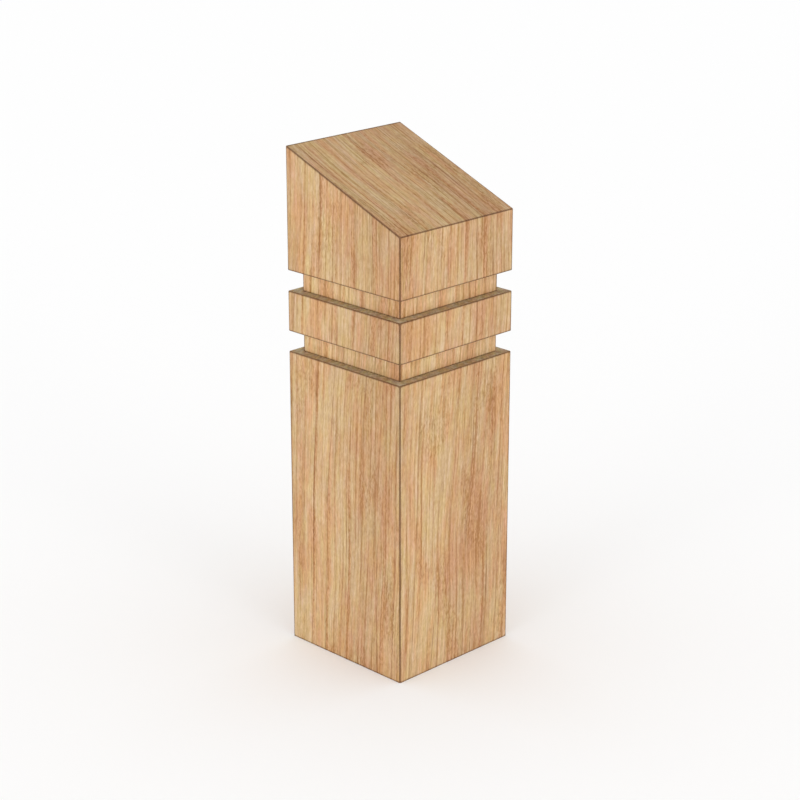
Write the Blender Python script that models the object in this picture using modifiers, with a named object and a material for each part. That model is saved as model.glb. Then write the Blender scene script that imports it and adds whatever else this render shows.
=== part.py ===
"""Square oak bollard: one timber with a single-slope top and two rebates cut round it below the head.

Metres, +Z up. The origin is the centre of the foot, and the top falls towards the front, -Y.
"""

import math

import bmesh
import bpy
from mathutils import Matrix

# Driving dimensions, in metres
POST_WIDTH = 0.150  # square section, across the flats
HIGH_SIDE = 0.500  # the back face, from the ground to the high edge
TOP_FALL = 0.060  # how far the sloping cut drops from back to front
SHAFT_HEIGHT = 0.300  # plain shaft, from the ground to the lower rebate
REBATE_HEIGHT = 0.020
REBATE_DEPTH = 0.010
BAND_HEIGHT = 0.040  # full-width band between the rebates
ARRIS = 0.0006  # taken off each face along an eased edge

# Planed oak, air dried
OAK_COLOUR = (0.610, 0.381, 0.202, 1.0)
OAK_ROUGHNESS = 0.65

# Edges that turn outwards by more than this are eased
SHARP_ANGLE = math.radians(10)


def clear_scene():
    for obj in list(bpy.data.objects):
        bpy.data.objects.remove(obj, do_unlink=True)


def new_collection(name):
    collection = bpy.data.collections.new(name)
    bpy.context.scene.collection.children.link(collection)
    return collection


def oak():
    material = bpy.data.materials.new("oak")
    material.use_nodes = True
    shader = material.node_tree.nodes["Principled BSDF"]
    shader.inputs["Base Color"].default_value = OAK_COLOUR
    shader.inputs["Roughness"].default_value = OAK_ROUGHNESS
    shader.inputs["Metallic"].default_value = 0.0
    material.diffuse_color = OAK_COLOUR
    return material


def add_shaft(body):
    """Stand the plain shaft on the ground and return its top face."""
    size = Matrix.Diagonal((POST_WIDTH, POST_WIDTH, SHAFT_HEIGHT, 1.0))
    place = Matrix.Translation((0.0, 0.0, SHAFT_HEIGHT / 2))
    bmesh.ops.create_cube(body, size=1.0, matrix=place @ size)
    return max(body.faces, key=lambda face: face.calc_center_median().z)


def extrude_top(body, top, rise=0.0, spread=0.0):
    """Extrude the top face by rise, move its sides outwards by spread, and return the new one."""
    made = bmesh.ops.extrude_face_region(body, geom=[top])["geom"]
    bmesh.ops.delete(body, geom=[top], context="FACES_ONLY")
    top = next(item for item in made if isinstance(item, bmesh.types.BMFace))
    for corner in top.verts:
        corner.co.x += spread * math.copysign(1.0, corner.co.x)
        corner.co.y += spread * math.copysign(1.0, corner.co.y)
        corner.co.z += rise
    return top


def add_rebate_and_block(body, top, block_height):
    """Step in for the rebate, up its height, out again and up the full-width block above it."""
    top = extrude_top(body, top, spread=-REBATE_DEPTH)
    top = extrude_top(body, top, rise=REBATE_HEIGHT)
    top = extrude_top(body, top, spread=REBATE_DEPTH)
    return extrude_top(body, top, rise=block_height)


def cut_slope(top):
    for corner in top.verts:
        if corner.co.y < 0:
            corner.co.z -= TOP_FALL


def mark_arrises(body):
    """Weight the edges that turn outwards, except those round the foot, which is cut off flat."""
    body.normal_update()
    weight = body.edges.layers.float.new("bevel_weight_edge")
    for edge in body.edges:
        at_foot = all(corner.co.z < ARRIS for corner in edge.verts)
        eased = edge.calc_face_angle_signed() > SHARP_ANGLE and not at_foot
        edge[weight] = float(eased)


def ease_arrises(post):
    bevel = post.modifiers.new("eased arrises", "BEVEL")
    bevel.limit_method = "WEIGHT"
    bevel.offset_type = "OFFSET"
    bevel.width = ARRIS
    bevel.segments = 1


def bollard_post():
    """The whole timber, with its head, band and shaft in one piece."""
    head_height = HIGH_SIDE - SHAFT_HEIGHT - 2 * REBATE_HEIGHT - BAND_HEIGHT
    body = bmesh.new()
    top = add_shaft(body)
    for block_height in (BAND_HEIGHT, head_height):
        top = add_rebate_and_block(body, top, block_height)
    cut_slope(top)
    mark_arrises(body)
    mesh = bpy.data.meshes.new("bollard_post")
    body.to_mesh(mesh)
    body.free()
    mesh.materials.append(oak())
    post = bpy.data.objects.new("bollard_post", mesh)
    ease_arrises(post)
    return post


def main():
    clear_scene()
    new_collection("oak_bollard").objects.link(bollard_post())


main()
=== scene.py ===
"""Oak bollard: the finished timber with its grain, on a plain pale floor in soft studio light."""

import math
from collections import namedtuple

import bmesh
import bpy
from bpy.props import FloatProperty, FloatVectorProperty, IntProperty, PointerProperty
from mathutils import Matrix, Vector


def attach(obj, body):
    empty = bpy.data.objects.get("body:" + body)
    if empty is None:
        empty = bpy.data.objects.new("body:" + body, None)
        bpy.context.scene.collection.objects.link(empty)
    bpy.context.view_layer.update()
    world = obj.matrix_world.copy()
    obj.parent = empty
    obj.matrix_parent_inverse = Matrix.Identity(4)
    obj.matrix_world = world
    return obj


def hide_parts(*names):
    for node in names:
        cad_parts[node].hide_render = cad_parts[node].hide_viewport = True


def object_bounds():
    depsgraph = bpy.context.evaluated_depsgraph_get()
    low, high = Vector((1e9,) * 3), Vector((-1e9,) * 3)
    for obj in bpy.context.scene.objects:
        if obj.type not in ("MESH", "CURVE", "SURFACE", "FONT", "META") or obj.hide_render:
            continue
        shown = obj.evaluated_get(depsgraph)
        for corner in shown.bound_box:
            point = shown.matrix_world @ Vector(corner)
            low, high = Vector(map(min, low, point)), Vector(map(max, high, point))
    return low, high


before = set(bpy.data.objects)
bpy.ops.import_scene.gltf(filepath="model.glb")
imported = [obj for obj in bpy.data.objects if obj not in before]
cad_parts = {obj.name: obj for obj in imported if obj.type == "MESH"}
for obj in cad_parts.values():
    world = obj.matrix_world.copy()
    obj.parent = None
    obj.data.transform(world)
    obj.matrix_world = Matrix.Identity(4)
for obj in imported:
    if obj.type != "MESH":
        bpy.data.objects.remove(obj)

bl_info = {
    "name": "Oak Bollard",
    "version": (1, 0, 0),
    "blender": (4, 5, 0),
    "location": "3D View > Sidebar > Oak Bollard",
    "description": "A square oak bollard with a sloping top, its oak finish and a plain studio",
    "category": "Add Mesh",
}

POST_NODE = "bollard_post"
FRAME_LOW, FRAME_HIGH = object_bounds()
FRAME_WIDTH = FRAME_HIGH.x - FRAME_LOW.x
MM = 0.001

GRAIN_MAP = "grain"
SLOPE, END, ARRIS, NECK = range(1, 5)  # the timber's material slots, after the sides' own at 0

# What a face is, by the Z of its normal
LEVEL = 0.999  # beyond this it is level
SLOPING = 0.5  # beyond this, but not level, it is the sloping top
ON_TOP = 0.7  # beyond this its grain is mapped with the slope's, also on a rounded edge

SHARP_ANGLE = math.radians(10)  # an edge that turns outwards by more than this is rounded
SMOOTH_ANGLE = math.radians(30)  # faces that meet at less than this are shaded as one

# A layer of the figure: the width and length of its marks in millimetres, and how strong it is
Layer = namedtuple("Layer", "across along detail weight seed")

LIGHT_AND_DARK = (
    Layer(3.4, 80, 1.0, 0.45, 2.0),  # streaks
    Layer(1.6, 60, 1.0, 0.80, 4.0),  # fibres
    Layer(1.0, 10, 1.0, 0.70, 14.0),  # short fibres
    Layer(1.4, 3.0, 1.0, 0.40, 17.0),  # flecks
)
PINK_AND_STRAW = (
    Layer(34, 130, 2.0, 2.2, 5.0),  # broad fields
    Layer(11, 50, 1.0, 1.6, 15.0),  # bands
    Layer(3.0, 25, 1.0, 1.0, 16.0),  # streaks
)
GOLD = (
    Layer(20, 80, 1.0, 1.2, 51.0),  # broad fields
    Layer(6, 25, 1.0, 1.6, 52.0),  # bands
    Layer(2.2, 10, 1.0, 1.2, 53.0),  # streaks
)

# A set of brown lines along the grain: how far apart and how wide in millimetres, and how dark
Lines = namedtuple("Lines", "spacing width weight seed")

BROWN_LINES = (
    Lines(5.0, 1.1, 0.22, 20.0),
    Lines(9.0, 1.7, 0.33, 40.0),
    Lines(16.0, 2.2, 0.32, 60.0),
)
DARK_LINES = Lines(24, 1.5, 1.0, 30.0)
LINE_WANDER = 1.5  # how far a line wanders from its straight course, in spacings

# How the grain runs up the timber
GRAIN_LEAN = 0.04  # how far it leans to the right, as a share of its height
GRAIN_WANDER = 18 * MM  # how far it wanders to the side besides
SHIVER = 0.2 * MM  # how far it shivers to and fro where it is straight
WILD_SHIVER = 2.4 * MM  # and how much further where it is wild

# A year's growth, in shares of a year
YEAR_WANDER = 1.3  # how far the years wander from even widths
EARLY_FULL = 0.04  # the early growth starts the year, and is full here
EARLY_FADE = 0.12  # it starts to fade here
EARLY_END = 0.28  # and has ended here

# How crowded the pores are, against 1 in the early growth
WILD_PORES = 0.7
SCATTERED_PORES = 0.10

# The tone runs from dark at 0 to pale at 1: where it starts, and what each mark adds to it
BASE_TONE = 0.60
DRIFT_SWING = 0.093  # each way, across each side
DRIFT_UNEVENNESS = 0.26  # in all
EARLY_TONE = -0.06
WILD_TONE = -0.07
PORE_TONE = -0.30
MOTTLE_TONE = 0.45
WILD_MOTTLE_TONE = 0.35  # on top of that, where the grain is wild
TONE_STOPS = (0.05, 0.5, 0.95)  # where the dark, the middle and the pale colour lie

# The hue runs from straw at 0 to blush at 1, in the same way
BASE_HUE = 0.36
DRIFT_HUE = -0.6
EARLY_HUE = 0.40
WILD_HUE = 0.20
LINE_HUE = 0.45  # times the line's weight
HUE_STOPS = (0.1, 0.9)  # where the straw and the blush lie

BASE_GOLD = 0.5
DRIFT_GOLD = 1.2

# The end grain: its year rings, and what each mark adds to its tone
HEART = (0.21, 0.16)  # the tree's heart, seen from above, is outside the timber's right back corner
RING_WIDTH = 5 * MM
RING_WOBBLE = 4 * MM
END_TONE = 0.62  # where its tone starts
RING_TONE = -0.1
DOT_TONE = -0.7
RAY_TONE = 0.3
WOBBLE_TONE = 0.5
PATCH_TONE = 2.2
END_STOPS = (0.0, 1.0)  # where its dark and its pale colour lie

# A cut of the wood: its roughness, how much rougher its pores are, and its specular level
Cut = namedtuple("Cut", "roughness in_pores specular")

PLANED = Cut(0.58, 0.20, 0.3)
SAWN = Cut(0.66, 0.15, 0.25)
CROSSCUT = Cut(0.72, 0.10, 0.2)
HANDLED = Cut(0.55, 0.20, 0.3)
PORE_DEPTH = 0.15 * MM

CORNER_SHADE_REACH = 2.2 * MM  # how far the painted shade darkens the wood from an inner corner
EDGE_REACH = 2.6 * MM  # and how far hands darken it from an edge

NOISE_ROUGHNESS = 0.55
SEED_SHIFT = (1.7, 2.3, 1.0)  # how far each whole seed moves a noise, in its own marks
MIX_FACTOR, MIX_FIRST, MIX_SECOND, MIX_RESULT = 0, 6, 7, 2  # a colour mix's sockets, by number

FLOOR_RADIUS = 24.0
FLOOR_SIDES = 64
LIGHT_DISTANCE = 3.0  # from each soft light to the point that the camera looks at
SENSOR_WIDTH = 36.0  # the camera's, in millimetres


class BollardSizes(bpy.types.PropertyGroup):
    """The timber's section and the cuts made in it."""

    width: FloatProperty(
        name="Width",
        description="Across the flats of the square section",
        default=FRAME_WIDTH,
        min=0.05,
        unit="LENGTH",
    )
    high_side: FloatProperty(
        name="High side",
        description="Height of the back face, from the ground to the high edge",
        default=0.500,
        min=0.1,
        unit="LENGTH",
    )
    top_fall: FloatProperty(
        name="Top fall",
        description="How far the sloping top drops from back to front",
        default=0.060,
        min=0.0,
        unit="LENGTH",
    )
    shaft_height: FloatProperty(
        name="Shaft height",
        description="Plain shaft, from the ground to the lower rebate",
        default=0.300,
        min=0.05,
        unit="LENGTH",
    )
    rebate_height: FloatProperty(
        name="Rebate height",
        description="Height of each groove that runs round the timber",
        default=0.020,
        min=0.002,
        unit="LENGTH",
    )
    rebate_depth: FloatProperty(
        name="Rebate depth",
        description="How far each groove is cut into the timber",
        default=0.010,
        min=0.001,
        unit="LENGTH",
    )
    band_height: FloatProperty(
        name="Band height",
        description="Height of the full-width band between the grooves",
        default=0.040,
        min=0.005,
        unit="LENGTH",
    )
    arris: FloatProperty(
        name="Arris",
        description="How much of each face the rounding of an edge takes",
        default=0.0009,
        min=0.0002,
        unit="LENGTH",
    )
    arris_segments: IntProperty(
        name="Arris segments",
        description="Facets across the rounding of an edge",
        default=4,
        min=1,
        max=12,
    )


class OakFinish(bpy.types.PropertyGroup):
    """The oak's colours, and how broad its figure is."""

    pale: FloatVectorProperty(
        name="Pale grain",
        description="The lightest of the long streaks",
        default=(0.728, 0.522, 0.346),
        subtype="COLOR",
        min=0.0,
        max=1.0,
    )
    middle: FloatVectorProperty(
        name="Middle tone",
        description="The general colour of the planed faces",
        default=(0.565, 0.372, 0.210),
        subtype="COLOR",
        min=0.0,
        max=1.0,
    )
    dark: FloatVectorProperty(
        name="Dark grain",
        description="The brown of the darkest streaks",
        default=(0.390, 0.222, 0.092),
        subtype="COLOR",
        min=0.0,
        max=1.0,
    )
    straw: FloatVectorProperty(
        name="Straw tint",
        description="Tint of the yellower wood, multiplied into the grain",
        default=(0.990, 1.0, 1.0),
        subtype="COLOR",
        min=0.0,
        max=1.0,
    )
    blush: FloatVectorProperty(
        name="Blush tint",
        description="Tint of the pinker wood, multiplied into the grain",
        default=(0.985, 0.805, 0.765),
        subtype="COLOR",
        min=0.0,
        max=1.0,
    )
    gold: FloatVectorProperty(
        name="Gold tint",
        description="Tint of the more golden wood, multiplied into the grain",
        default=(1.0, 1.0, 0.755),
        subtype="COLOR",
        min=0.0,
        max=1.0,
    )
    vein: FloatVectorProperty(
        name="Vein tint",
        description="Tint of the thin brown lines",
        default=(0.70, 0.59, 0.48),
        subtype="COLOR",
        min=0.0,
        max=1.0,
    )
    # Partly the sawn wood's own darker colour, partly painted shade: the top face darker for how the
    # light falls on it
    slope: FloatVectorProperty(
        name="Slope tint",
        description="Tint of the sawn slope, which is a little darker than the planed sides",
        default=(0.778, 0.778, 0.762),
        subtype="COLOR",
        min=0.0,
        max=1.0,
    )
    # Wear on the edges, and painted shade in the inner corners, where the same tint darkens the wood
    wear_and_shade: FloatVectorProperty(
        name="Worn tint",
        description="Tint of the edges and the inner corners, where handling and dust darken the oak",
        default=(0.34, 0.28, 0.22),
        subtype="COLOR",
        min=0.0,
        max=1.0,
    )
    end_pale: FloatVectorProperty(
        name="Pale end grain",
        description="Dense later growth where the timber is cut level",
        default=(0.520, 0.430, 0.292),
        subtype="COLOR",
        min=0.0,
        max=1.0,
    )
    end_dark: FloatVectorProperty(
        name="Dark end grain",
        description="Porous early growth where the timber is cut level",
        default=(0.292, 0.220, 0.136),
        subtype="COLOR",
        min=0.0,
        max=1.0,
    )
    # Painted light: it lifts the grooves' wood paler to make up for the shade that the head and the
    # band cast in them
    painted_light_lift: FloatVectorProperty(
        name="Shelter tint",
        description="Tint of the wood in the grooves. Above 1 it is paler than the sides",
        default=(1.235, 1.285, 1.325),
        subtype="COLOR",
        min=0.0,
        max=2.0,
    )
    drift_width: FloatProperty(
        name="Drift width",
        description="How far apart the broad pale stretches are, across the sides",
        default=FRAME_WIDTH,
        min=0.01,
        unit="LENGTH",
    )
    year_width: FloatProperty(
        name="Year width",
        description="How far apart the early growth of one year and the next is, across the sides",
        default=0.024,
        min=0.001,
        unit="LENGTH",
    )


class StudioSettings(bpy.types.PropertyGroup):
    """The camera's place and the light."""

    azimuth: FloatProperty(
        name="Azimuth",
        description="Where the camera stands round the bollard; 0 looks at the low face",
        default=math.radians(-45.0),
        subtype="ANGLE",
    )
    elevation: FloatProperty(
        name="Elevation",
        description="How far the camera looks down",
        default=math.radians(19.3),
        subtype="ANGLE",
    )
    distance: FloatProperty(
        name="Distance",
        description="From the camera to the point it looks at",
        default=2.100,
        min=0.2,
        unit="LENGTH",
    )
    aim_height: FloatProperty(
        name="Aim height",
        description="Height of the point that the camera looks at",
        default=0.250,
        unit="LENGTH",
    )
    lens: FloatProperty(
        name="Lens",
        description="Focal length in millimetres on a 36 mm sensor",
        default=98.0,
        min=10.0,
    )
    daylight: FloatProperty(
        name="Daylight",
        description="Brightness of the even light from all round",
        default=1.0,
        min=0.0,
    )
    front_light: FloatProperty(
        name="Front light",
        description="Strength of each of the two soft lights from the camera's side",
        default=0.36,
        min=0.0,
    )
    light_spread: FloatProperty(
        name="Light spread",
        description="How far round from the camera each soft light stands",
        default=math.radians(40.0),
        subtype="ANGLE",
    )
    light_rise: FloatProperty(
        name="Light rise",
        description="How far down the soft lights shine",
        default=math.radians(14.0),
        subtype="ANGLE",
    )
    light_softness: FloatProperty(
        name="Light softness",
        description="How wide each soft light is, seen from the bollard",
        default=math.radians(30.0),
        min=0.0,
        subtype="ANGLE",
    )


class MaterialNodes:
    """A material's node tree, with a short call for each kind of node that the oak needs."""

    def __init__(self, name):
        self.material = bpy.data.materials.new(name)
        self.material.use_nodes = True
        self.tree = self.material.node_tree
        self.shader = self.tree.nodes["Principled BSDF"]

    def feed(self, socket, value):
        """Link an output to the socket, or give the socket its own value."""
        if isinstance(value, bpy.types.NodeSocket):
            self.tree.links.new(value, socket)
        else:
            socket.default_value = value

    def finish(self, **values):
        """Feed the shader's sockets, named in small letters with _ for a space."""
        for name, value in values.items():
            self.feed(self.shader.inputs[name.replace("_", " ").title().replace("Ior", "IOR")], value)
        return self.material

    def add(self, kind, inputs, **settings):
        node = self.tree.nodes.new(kind)
        for name, value in settings.items():
            setattr(node, name, value)
        for name, value in inputs.items():
            self.feed(node.inputs[name], value)
        return node

    def math(self, operation, first, second=0.0, third=0.0):
        inputs = {0: first, 1: second, 2: third}
        return self.add("ShaderNodeMath", inputs, operation=operation).outputs[0]

    def plus(self, start, marks, weight):
        """The start, and on top of it the marks times their weight."""
        return self.math("MULTIPLY_ADD", marks, weight, start)

    def about_zero(self, noise, swing):
        """Noise from 0 to 1, made to swing this far in all about 0."""
        return self.plus(-swing / 2, noise, swing)

    def split(self, place):
        """The place's X and Y."""
        return self.add("ShaderNodeSeparateXYZ", {"Vector": place}).outputs[:2]

    def join(self, x, y):
        return self.add("ShaderNodeCombineXYZ", {0: x, 1: y}).outputs[0]

    def noise(self, place, across, along, detail=1.0, seed=0.0):
        """Noise from 0 to 1 whose marks are about across wide and along long, in millimetres."""
        mapping = {
            "Vector": place,
            "Location": [seed * shift for shift in SEED_SHIFT],
            "Scale": (1.0 / (across * MM), 1.0 / (along * MM), 1.0 / (across * MM)),
        }
        stretched = self.add("ShaderNodeMapping", mapping).outputs[0]
        inputs = {"Vector": stretched, "Scale": 1.0, "Detail": detail, "Roughness": NOISE_ROUGHNESS}
        return self.add("ShaderNodeTexNoise", inputs).outputs[0]

    def pile(self, place, layers, start):
        """The layers laid over each other, about the starting value."""
        total = start
        for layer in layers:
            marks = self.noise(place, layer.across, layer.along, layer.detail, layer.seed)
            total = self.math("ADD", total, self.about_zero(marks, layer.weight))
        return total

    def step(self, value, off, full):
        """A smooth change from 0, where the value is off, to 1, where it is full."""
        inputs = {"Value": value, "From Min": off, "From Max": full}
        node = self.add("ShaderNodeMapRange", inputs, interpolation_type="SMOOTHSTEP")
        return node.outputs[0]

    def ramp(self, factor, stops, colours):
        """The colours, each at its stop, blended in between."""
        node = self.add("ShaderNodeValToRGB", {"Fac": factor})
        ramp = node.color_ramp
        while len(ramp.elements) < len(stops):
            ramp.elements.new(1.0)
        for element, position, colour in zip(ramp.elements, stops, colours):
            element.position = position
            element.color = (*colour, 1.0)
        return node.outputs["Color"]

    def tint(self, colour, by, factor=1.0):
        """The colour, multiplied by another one as far as the factor says."""
        node = self.add("ShaderNodeMix", {}, data_type="RGBA", blend_type="MULTIPLY")
        self.feed(node.inputs[MIX_FACTOR], factor)
        self.feed(node.inputs[MIX_FIRST], colour)
        self.feed(node.inputs[MIX_SECOND], by if isinstance(by, bpy.types.NodeSocket) else (*by, 1.0))
        return node.outputs[MIX_RESULT]

    def room(self, reach, inside=False):
        """1 on an open face, and less within reach of an inner corner, or of an outer one if inside."""
        settings = {"samples": 8, "only_local": True, "inside": inside}
        return self.add("ShaderNodeAmbientOcclusion", {"Distance": reach}, **settings).outputs["AO"]


def wild_grain(nodes, place):
    """1 in the long patches where the grain is wild, short and pink, and 0 where it runs straight."""
    patches = nodes.noise(place, across=36, along=90, detail=2.0, seed=12.0)
    return nodes.step(patches, off=0.52, full=0.64)


def grain_place(nodes, place, wild):
    """Across and along the grain, on lines that lean as they climb and shiver where it is wild."""
    wander = nodes.noise(place, across=140, along=220, seed=3.0)
    shiver = nodes.math("SUBTRACT", nodes.noise(place, across=3.0, along=5.0, seed=8.0), 0.5)
    across, along = nodes.split(place)
    across = nodes.plus(across, along, -GRAIN_LEAN)
    across = nodes.plus(across, wander, GRAIN_WANDER)
    across = nodes.plus(across, shiver, nodes.plus(SHIVER, wild, WILD_SHIVER))
    return nodes.join(across, along)


def broad_drift(nodes, place, drift_width):
    """The slow swing from pale on the left of each face to dark on its right, never quite even."""
    across, along = nodes.split(place)
    turn = nodes.math("MULTIPLY", across, 2 * math.pi / drift_width)
    uneven = nodes.noise(place, across=90, along=200, detail=0.0, seed=113.0)
    drift = nodes.about_zero(uneven, DRIFT_UNEVENNESS)
    return nodes.plus(drift, nodes.math("SINE", turn), DRIFT_SWING)


def early_growth(nodes, place, year_width):
    """1 in each year's porous first growth, in bands that come and go, and 0 in its later growth."""
    across, along = nodes.split(place)
    uneven = nodes.noise(place, across=50, along=700, seed=6.0)
    year = nodes.plus(nodes.math("DIVIDE", across, year_width), uneven, YEAR_WANDER)
    part = nodes.math("FRACT", year)
    rise = nodes.step(part, off=0.0, full=EARLY_FULL)
    fall = nodes.step(part, off=EARLY_END, full=EARLY_FADE)
    patches = nodes.noise(place, across=20, along=160, seed=13.0)
    strength = nodes.step(patches, off=0.30, full=0.60)
    return nodes.math("MULTIPLY", nodes.math("MULTIPLY", rise, fall), strength)


def open_pores(nodes, place, crowded):
    """Short dark dashes along the grain, crowded in places and scattered elsewhere."""
    dashes = nodes.step(nodes.noise(place, across=1.3, along=5.0, seed=10.0), off=0.46, full=0.66)
    strength = nodes.plus(SCATTERED_PORES, crowded, 1.0 - SCATTERED_PORES)
    return nodes.math("MULTIPLY", dashes, strength)


def long_lines(nodes, place, lines):
    """Thin lines that climb a hand's breadth and stop, darker here and fainter there."""
    across, along = nodes.split(place)
    uneven = nodes.noise(place, across=lines.spacing * 2.5, along=600, seed=lines.seed)
    count = nodes.math("DIVIDE", across, lines.spacing * MM)
    count = nodes.plus(count, uneven, LINE_WANDER)
    edge = lines.width / lines.spacing / 2
    line = nodes.step(nodes.math("PINGPONG", count, 0.5), off=edge * 1.6, full=edge * 0.3)
    breaks = nodes.noise(place, across=lines.spacing, along=150, seed=lines.seed + 1.0)
    run = nodes.step(breaks, off=0.38, full=0.56)
    beads = nodes.noise(place, across=3, along=12, seed=lines.seed + 2.0)
    bead = nodes.step(beads, off=0.10, full=0.60)
    return nodes.math("MULTIPLY", line, nodes.math("MULTIPLY", run, bead))


def add_figure(nodes, finish):
    """The oak's figure: its colour, and its pores as 0 to 1."""
    face = nodes.add("ShaderNodeUVMap", {}, uv_map=GRAIN_MAP).outputs[0]
    wild = wild_grain(nodes, face)
    place = grain_place(nodes, face, wild)
    early = early_growth(nodes, place, finish.year_width)
    crowded = nodes.math("MAXIMUM", early, nodes.math("MULTIPLY", wild, WILD_PORES))
    pores = open_pores(nodes, place, crowded)
    drift = broad_drift(nodes, place, finish.drift_width)
    mottle = nodes.math("SUBTRACT", nodes.noise(place, across=2.2, along=7.0, seed=9.0), 0.5)
    tone = nodes.math("ADD", drift, nodes.pile(place, LIGHT_AND_DARK, BASE_TONE))
    tone = nodes.plus(tone, early, EARLY_TONE)
    tone = nodes.plus(tone, wild, WILD_TONE)
    tone = nodes.plus(tone, pores, PORE_TONE)
    tone = nodes.plus(tone, mottle, nodes.plus(MOTTLE_TONE, wild, WILD_MOTTLE_TONE))
    hue = nodes.pile(place, PINK_AND_STRAW, BASE_HUE)
    hue = nodes.plus(hue, drift, DRIFT_HUE)
    hue = nodes.plus(hue, early, EARLY_HUE)
    hue = nodes.plus(hue, wild, WILD_HUE)
    for lines in BROWN_LINES:
        brown = long_lines(nodes, place, lines)
        tone = nodes.plus(tone, brown, -lines.weight)
        hue = nodes.plus(hue, brown, LINE_HUE * lines.weight)
    gold = nodes.plus(nodes.pile(place, GOLD, BASE_GOLD), drift, DRIFT_GOLD)
    colour = nodes.ramp(tone, TONE_STOPS, (finish.dark, finish.middle, finish.pale))
    colour = nodes.tint(colour, nodes.ramp(hue, HUE_STOPS, (finish.straw, finish.blush)))
    colour = nodes.tint(colour, finish.gold, gold)
    return nodes.tint(colour, finish.vein, long_lines(nodes, place, DARK_LINES)), pores


def pore_relief(nodes, pores):
    """The pores as fine open cuts in the surface."""
    depth = nodes.math("MULTIPLY", pores, -1.0)
    relief = {"Strength": 0.35, "Distance": PORE_DEPTH, "Height": depth}
    return nodes.add("ShaderNodeBump", relief).outputs[0]


def paint_corner_shade(nodes, colour, finish):
    """Painted shade: darken the inner corners of the rebates, where shade falls, the more the closer
    the corner.
    """
    # painted shade: the nearer an inner corner hems the wood in, the darker it is tinted
    corner = nodes.step(nodes.room(CORNER_SHADE_REACH), off=0.85, full=0.50)
    return nodes.tint(colour, finish.wear_and_shade, corner)


def darken_edges(nodes, colour, finish):
    """Hands and weather darken a narrow strip of each face beside its edges."""
    strip = nodes.step(nodes.room(EDGE_REACH, inside=True), off=0.92, full=0.62)
    return nodes.tint(colour, finish.wear_and_shade, strip)


def wood(nodes, cut, colour, pores, **relief):
    """The finished material, as this cut of the wood in this colour."""
    return nodes.finish(
        base_color=colour,
        roughness=nodes.plus(cut.roughness, pores, cut.in_pores),
        specular_ior_level=cut.specular,
        **relief,
    )


def planed_face(nodes, colour, pores, finish):
    """Planed long grain in this colour, with painted shade darkening its inner corners, and darker
    beside its edges.
    """
    colour = darken_edges(nodes, colour, finish)
    # painted shade in the inner corners
    colour = paint_corner_shade(nodes, colour, finish)
    return wood(nodes, PLANED, colour, pores, normal=pore_relief(nodes, pores))


def side_grain(finish):
    """The planed sides."""
    nodes = MaterialNodes("oak_side_grain")
    colour, pores = add_figure(nodes, finish)
    return planed_face(nodes, colour, pores, finish)


def neck_grain(finish):
    """The planed wood in the grooves, tinted paler than the sides as painted light against the shade of
    the head and the band.
    """
    nodes = MaterialNodes("oak_neck_grain")
    colour, pores = add_figure(nodes, finish)
    # painted light: the grooves' wood tinted paler to offset their shade
    return planed_face(nodes, nodes.tint(colour, finish.painted_light_lift), pores, finish)


def slope_grain(finish):
    """The sawn slope, rougher than the planed sides, and tinted darker: partly the sawn wood's own
    colour, partly painted shade on the top face.
    """
    nodes = MaterialNodes("oak_slope_grain")
    colour, pores = add_figure(nodes, finish)
    # partly the sawn wood's colour, partly painted shade on the top face
    colour = nodes.tint(colour, finish.slope)
    colour = darken_edges(nodes, colour, finish)
    return wood(nodes, SAWN, colour, pores, normal=pore_relief(nodes, pores))


def end_grain(finish):
    """The level cuts, with year rings and rays: the rebates' ledges and soffits, and the foot."""
    nodes = MaterialNodes("oak_end_grain")
    x, y = nodes.split(nodes.add("ShaderNodeTexCoord", {}).outputs["Object"])
    x = nodes.math("SUBTRACT", x, HEART[0])
    y = nodes.math("SUBTRACT", y, HEART[1])
    radius = nodes.math("SQRT", nodes.math("MULTIPLY_ADD", x, x, nodes.math("MULTIPLY", y, y)))
    turn = nodes.math("MULTIPLY", nodes.math("ARCTAN2", y, x), math.hypot(*HEART))
    place = nodes.join(turn, radius)
    wobble = nodes.noise(place, across=30, along=30, seed=1.0)
    radius = nodes.plus(radius, wobble, RING_WOBBLE)
    part = nodes.math("FRACT", nodes.math("DIVIDE", radius, RING_WIDTH))
    rise = nodes.step(part, off=0.0, full=0.12)
    fall = nodes.step(part, off=0.60, full=0.25)
    early = nodes.math("MULTIPLY", rise, fall)
    dots = nodes.step(nodes.noise(place, across=0.7, along=0.7, seed=2.0), off=0.45, full=0.62)
    rays = nodes.step(nodes.noise(place, across=0.6, along=22, seed=3.0), off=0.58, full=0.66)
    patches = nodes.noise(place, across=3, along=9, detail=1.0, seed=4.0)
    tone = nodes.math("MULTIPLY", early, nodes.plus(RING_TONE, dots, DOT_TONE))
    tone = nodes.plus(nodes.math("ADD", tone, END_TONE), rays, RAY_TONE)
    tone = nodes.math("ADD", tone, nodes.about_zero(wobble, WOBBLE_TONE))
    tone = nodes.math("ADD", tone, nodes.about_zero(patches, PATCH_TONE))
    pink = nodes.noise(place, across=8, along=16, detail=2.0, seed=5.0)
    gold = nodes.noise(place, across=5, along=12, detail=2.0, seed=6.0)
    colour = nodes.ramp(tone, END_STOPS, (finish.end_dark, finish.end_pale))
    colour = nodes.tint(colour, finish.blush, nodes.step(pink, off=0.37, full=0.63))
    colour = nodes.tint(colour, finish.gold, nodes.step(gold, off=0.42, full=0.58))
    # painted shade in the inner corners of the ledges and soffits
    return wood(nodes, CROSSCUT, paint_corner_shade(nodes, colour, finish), early)


def arris_grain(finish):
    """The rounded edges, darker where hands and weather have rubbed them."""
    nodes = MaterialNodes("oak_arris_grain")
    colour, pores = add_figure(nodes, finish)
    return wood(nodes, HANDLED, nodes.tint(colour, finish.wear_and_shade), pores)


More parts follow.
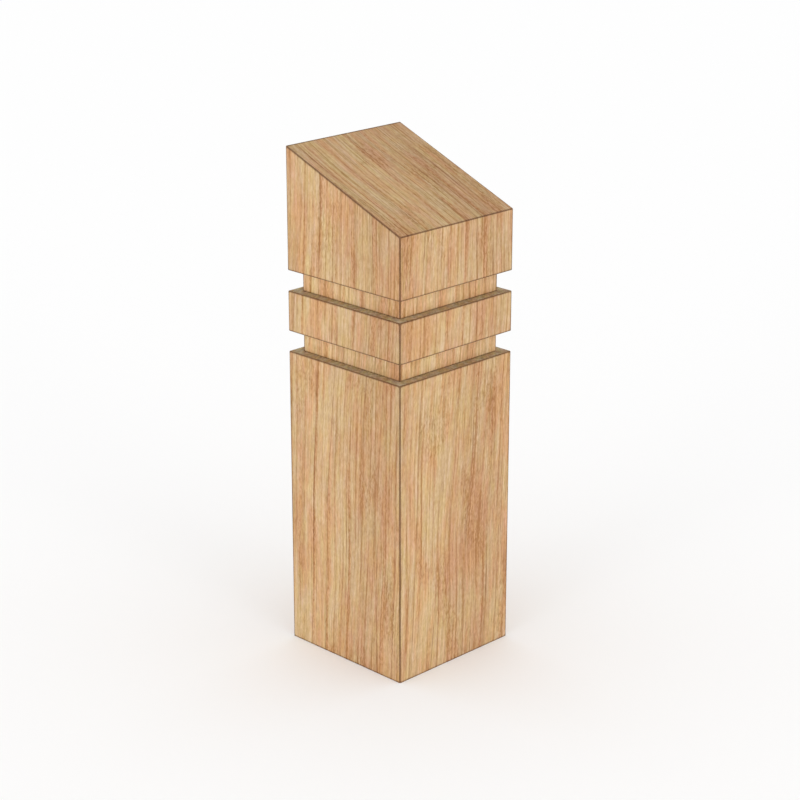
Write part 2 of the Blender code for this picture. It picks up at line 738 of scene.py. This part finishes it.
def deselect_everything():
    bpy.ops.object.select_all(action="DESELECT")
    bpy.context.view_layer.objects.active = None


def squared_timber(sizes):
    """The blank: a square timber standing on the ground, as long as the high side."""
    deselect_everything()
    bpy.ops.mesh.primitive_cube_add(
        size=1.0,
        location=(0.0, 0.0, sizes.high_side / 2),
        scale=(sizes.width, sizes.width, sizes.high_side),
    )
    bpy.ops.object.transform_apply(location=True, rotation=True, scale=True)
    post = bpy.context.object
    post.name = post.data.name = "oak_post"
    return post


def add_finishes(post, finish):
    for make in (side_grain, slope_grain, end_grain, arris_grain, neck_grain):
        post.data.materials.append(make(finish))


def select_in_edit(post, kind, wanted):
    """In edit mode, select just the faces or edges for which wanted is true."""
    bpy.ops.mesh.select_mode(type=kind)
    bpy.ops.mesh.select_all(action="DESELECT")
    body = bmesh.from_edit_mesh(post.data)
    body.normal_update()
    for item in body.faces if kind == "FACE" else body.edges:
        if wanted(item):
            item.select_set(True)
    bmesh.update_edit_mesh(post.data)


def saw_level(height):
    """Mark a level line right round the timber."""
    bpy.ops.mesh.select_all(action="SELECT")
    bpy.ops.mesh.bisect(plane_co=(0.0, 0.0, height), plane_no=(0.0, 0.0, 1.0))


def cut_rebate(post, sizes, bottom):
    """Line the groove's edges round the timber and take the wood between them down."""
    top = bottom + sizes.rebate_height
    saw_level(bottom)
    saw_level(top)
    select_in_edit(post, "FACE", lambda face: bottom < face.calc_center_median().z < top)
    bpy.ops.mesh.extrude_region()
    left = 1.0 - 2 * sizes.rebate_depth / sizes.width
    middle = (0.0, 0.0, (bottom + top) / 2)
    bpy.ops.transform.resize(value=(left, left, 1.0), center_override=middle)


def saw_slope(sizes):
    """Saw the top off along the slope."""
    middle = (0.0, 0.0, sizes.high_side - sizes.top_fall / 2)
    normal = (0.0, -sizes.top_fall, sizes.width)
    bpy.ops.mesh.select_all(action="SELECT")
    bpy.ops.mesh.bisect(plane_co=middle, plane_no=normal, use_fill=True, clear_outer=True)


def is_arris(edge):
    at_foot = all(end.co.z < MM for end in edge.verts)
    return edge.calc_face_angle_signed(0.0) > SHARP_ANGLE and not at_foot


def ease_arrises(post, sizes):
    """Round every edge that turns outwards, but for those at the foot."""
    select_in_edit(post, "EDGE", is_arris)
    bpy.ops.mesh.bevel(
        offset_type="OFFSET",
        offset=sizes.arris,
        segments=sizes.arris_segments,
        affect="EDGES",
        clamp_overlap=False,
        material=ARRIS,
    )


def sort_faces(post, sizes):
    """Give the level cuts, the slope and the necks their own cut of the oak. The rest are sides."""
    halfway_in = (sizes.width - sizes.rebate_depth) / 2
    for face in post.data.polygons:
        if face.material_index == ARRIS:
            continue
        if abs(face.normal.z) > LEVEL:
            face.material_index = END
        elif face.normal.z > SLOPING:
            face.material_index = SLOPE
        elif abs(face.center.dot(face.normal)) < halfway_in:
            face.material_index = NECK


def distance_round(normal, place, width):
    """How far round the timber a point is, from the left back edge by way of the front."""
    half = width / 2
    along_y = abs(normal.y) >= abs(normal.x)
    if along_y and normal.y <= 0 or normal.z > abs(normal.x):
        return width + half + place.x
    if along_y:
        return 3 * width + half - place.x
    if normal.x < 0:
        return half - place.y
    return 2 * width + half + place.y


def map_grain(post, sizes):
    """Lay the grain map in metres: round the timber across the grain, and up it along the grain."""
    low_side = sizes.high_side - sizes.top_fall
    stretch = math.hypot(sizes.width, sizes.top_fall) / sizes.width
    grain = post.data.uv_layers.new(name=GRAIN_MAP)
    for face in post.data.polygons:
        for corner in face.loop_indices:
            place = post.data.vertices[post.data.loops[corner].vertex_index].co
            across = distance_round(face.normal, place, sizes.width)
            along = place.z
            if face.normal.z > ON_TOP:
                along = low_side + (place.y + sizes.width / 2) * stretch
            grain.uv[corner].vector = (across, along)


def shade_post(post):
    """Shade the rounded edges as round and leave the flat faces flat."""
    bpy.ops.object.shade_smooth_by_angle(angle=SMOOTH_ANGLE)
    weighted = post.modifiers.new("flat faces", "WEIGHTED_NORMAL")
    weighted.keep_sharp = True
    bpy.ops.object.modifier_apply(modifier=weighted.name)


class OAKBOLLARD_OT_post(bpy.types.Operator):
    """Make the bollard's one timber and give it its oak finish"""

    bl_idname = "mesh.oak_bollard_post"
    bl_label = "Oak Post"
    bl_options = {"REGISTER", "UNDO"}

    def execute(self, context):
        sizes = context.scene.bollard_sizes
        post = squared_timber(sizes)
        add_finishes(post, context.scene.oak_finish)
        bpy.ops.object.mode_set(mode="EDIT")
        lower = sizes.shaft_height
        cut_rebate(post, sizes, lower)
        cut_rebate(post, sizes, lower + sizes.rebate_height + sizes.band_height)
        saw_slope(sizes)
        ease_arrises(post, sizes)
        bpy.ops.object.mode_set(mode="OBJECT")
        sort_faces(post, sizes)
        map_grain(post, sizes)
        shade_post(post)
        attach(post, "root")
        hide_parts(POST_NODE)
        return {"FINISHED"}


def pale_floor_finish():
    nodes = MaterialNodes("pale_floor")
    return nodes.finish(base_color=(0.94, 0.94, 0.94, 1.0), roughness=0.9, specular_ior_level=0.0)


def lay_floor():
    deselect_everything()
    bpy.ops.mesh.primitive_circle_add(vertices=FLOOR_SIDES, radius=FLOOR_RADIUS, fill_type="NGON")
    floor = bpy.context.object
    floor.name = floor.data.name = "studio_floor"
    floor.data.materials.append(pale_floor_finish())


def light_all_round(strength):
    world = bpy.data.worlds.new("studio_daylight")
    world.use_nodes = True
    background = world.node_tree.nodes["Background"]
    background.inputs["Color"].default_value = (1.0, 1.0, 1.0, 1.0)
    background.inputs["Strength"].default_value = strength
    bpy.context.scene.world = world


def seen_from(azimuth, elevation, distance, aim):
    """The place at a distance from aim, where azimuth 0 looks along +Y, and the turn that faces it."""
    back = Vector((
        math.sin(azimuth) * math.cos(elevation),
        -math.cos(azimuth) * math.cos(elevation),
        math.sin(elevation),
    ))
    return aim + back * distance, (-back).to_track_quat("-Z", "Y").to_euler()


def hang_light(name, azimuth, studio, aim):
    place, turn = seen_from(azimuth, studio.light_rise, LIGHT_DISTANCE, aim)
    bpy.ops.object.light_add(type="SUN", location=place, rotation=turn)
    light = bpy.context.object
    light.name = light.data.name = name
    light.data.energy = studio.front_light
    light.data.angle = studio.light_softness


def place_camera(studio, aim):
    place, turn = seen_from(studio.azimuth, studio.elevation, studio.distance, aim)
    bpy.ops.object.camera_add(location=place, rotation=turn)
    camera = bpy.context.object
    camera.name = camera.data.name = "studio_camera"
    camera.data.sensor_width = SENSOR_WIDTH
    camera.data.lens = studio.lens
    bpy.context.scene.camera = camera


class OAKBOLLARD_OT_stage(bpy.types.Operator):
    """Lay the pale floor, hang the soft lights and set the camera at the picture's viewing angle"""

    bl_idname = "scene.oak_bollard_stage"
    bl_label = "Plain Studio"
    bl_options = {"REGISTER", "UNDO"}

    def execute(self, context):
        studio = context.scene.bollard_studio
        aim = Vector((0.0, 0.0, studio.aim_height))
        lay_floor()
        light_all_round(studio.daylight)
        hang_light("left_light", studio.azimuth - studio.light_spread, studio, aim)
        hang_light("right_light", studio.azimuth + studio.light_spread, studio, aim)
        place_camera(studio, aim)
        context.scene.view_settings.view_transform = "Standard"
        return {"FINISHED"}


class OAKBOLLARD_PT_panel(bpy.types.Panel):
    """The bollard's operators, with the sizes and colours that they use"""

    bl_idname = "OAKBOLLARD_PT_panel"
    bl_label = "Oak Bollard"
    bl_space_type = "VIEW_3D"
    bl_region_type = "UI"
    bl_category = "Oak Bollard"

    def draw(self, context):
        groups = (
            (OAKBOLLARD_OT_post, (context.scene.bollard_sizes, context.scene.oak_finish)),
            (OAKBOLLARD_OT_stage, (context.scene.bollard_studio,)),
        )
        for operator, settings in groups:
            column = self.layout.column(align=True)
            column.operator(operator.bl_idname)
            for group in settings:
                for name in group.__annotations__:
                    column.prop(group, name)


CLASSES = (
    BollardSizes,
    OakFinish,
    StudioSettings,
    OAKBOLLARD_OT_post,
    OAKBOLLARD_OT_stage,
    OAKBOLLARD_PT_panel,
)


def register():
    for cls in CLASSES:
        bpy.utils.register_class(cls)
    bpy.types.Scene.bollard_sizes = PointerProperty(type=BollardSizes)
    bpy.types.Scene.oak_finish = PointerProperty(type=OakFinish)
    bpy.types.Scene.bollard_studio = PointerProperty(type=StudioSettings)


def unregister():
    del bpy.types.Scene.bollard_studio
    del bpy.types.Scene.oak_finish
    del bpy.types.Scene.bollard_sizes
    for cls in reversed(CLASSES):
        bpy.utils.unregister_class(cls)


def main():
    register()
    bpy.ops.mesh.oak_bollard_post()
    bpy.ops.scene.oak_bollard_stage()


if __name__ == "__main__":
    main()
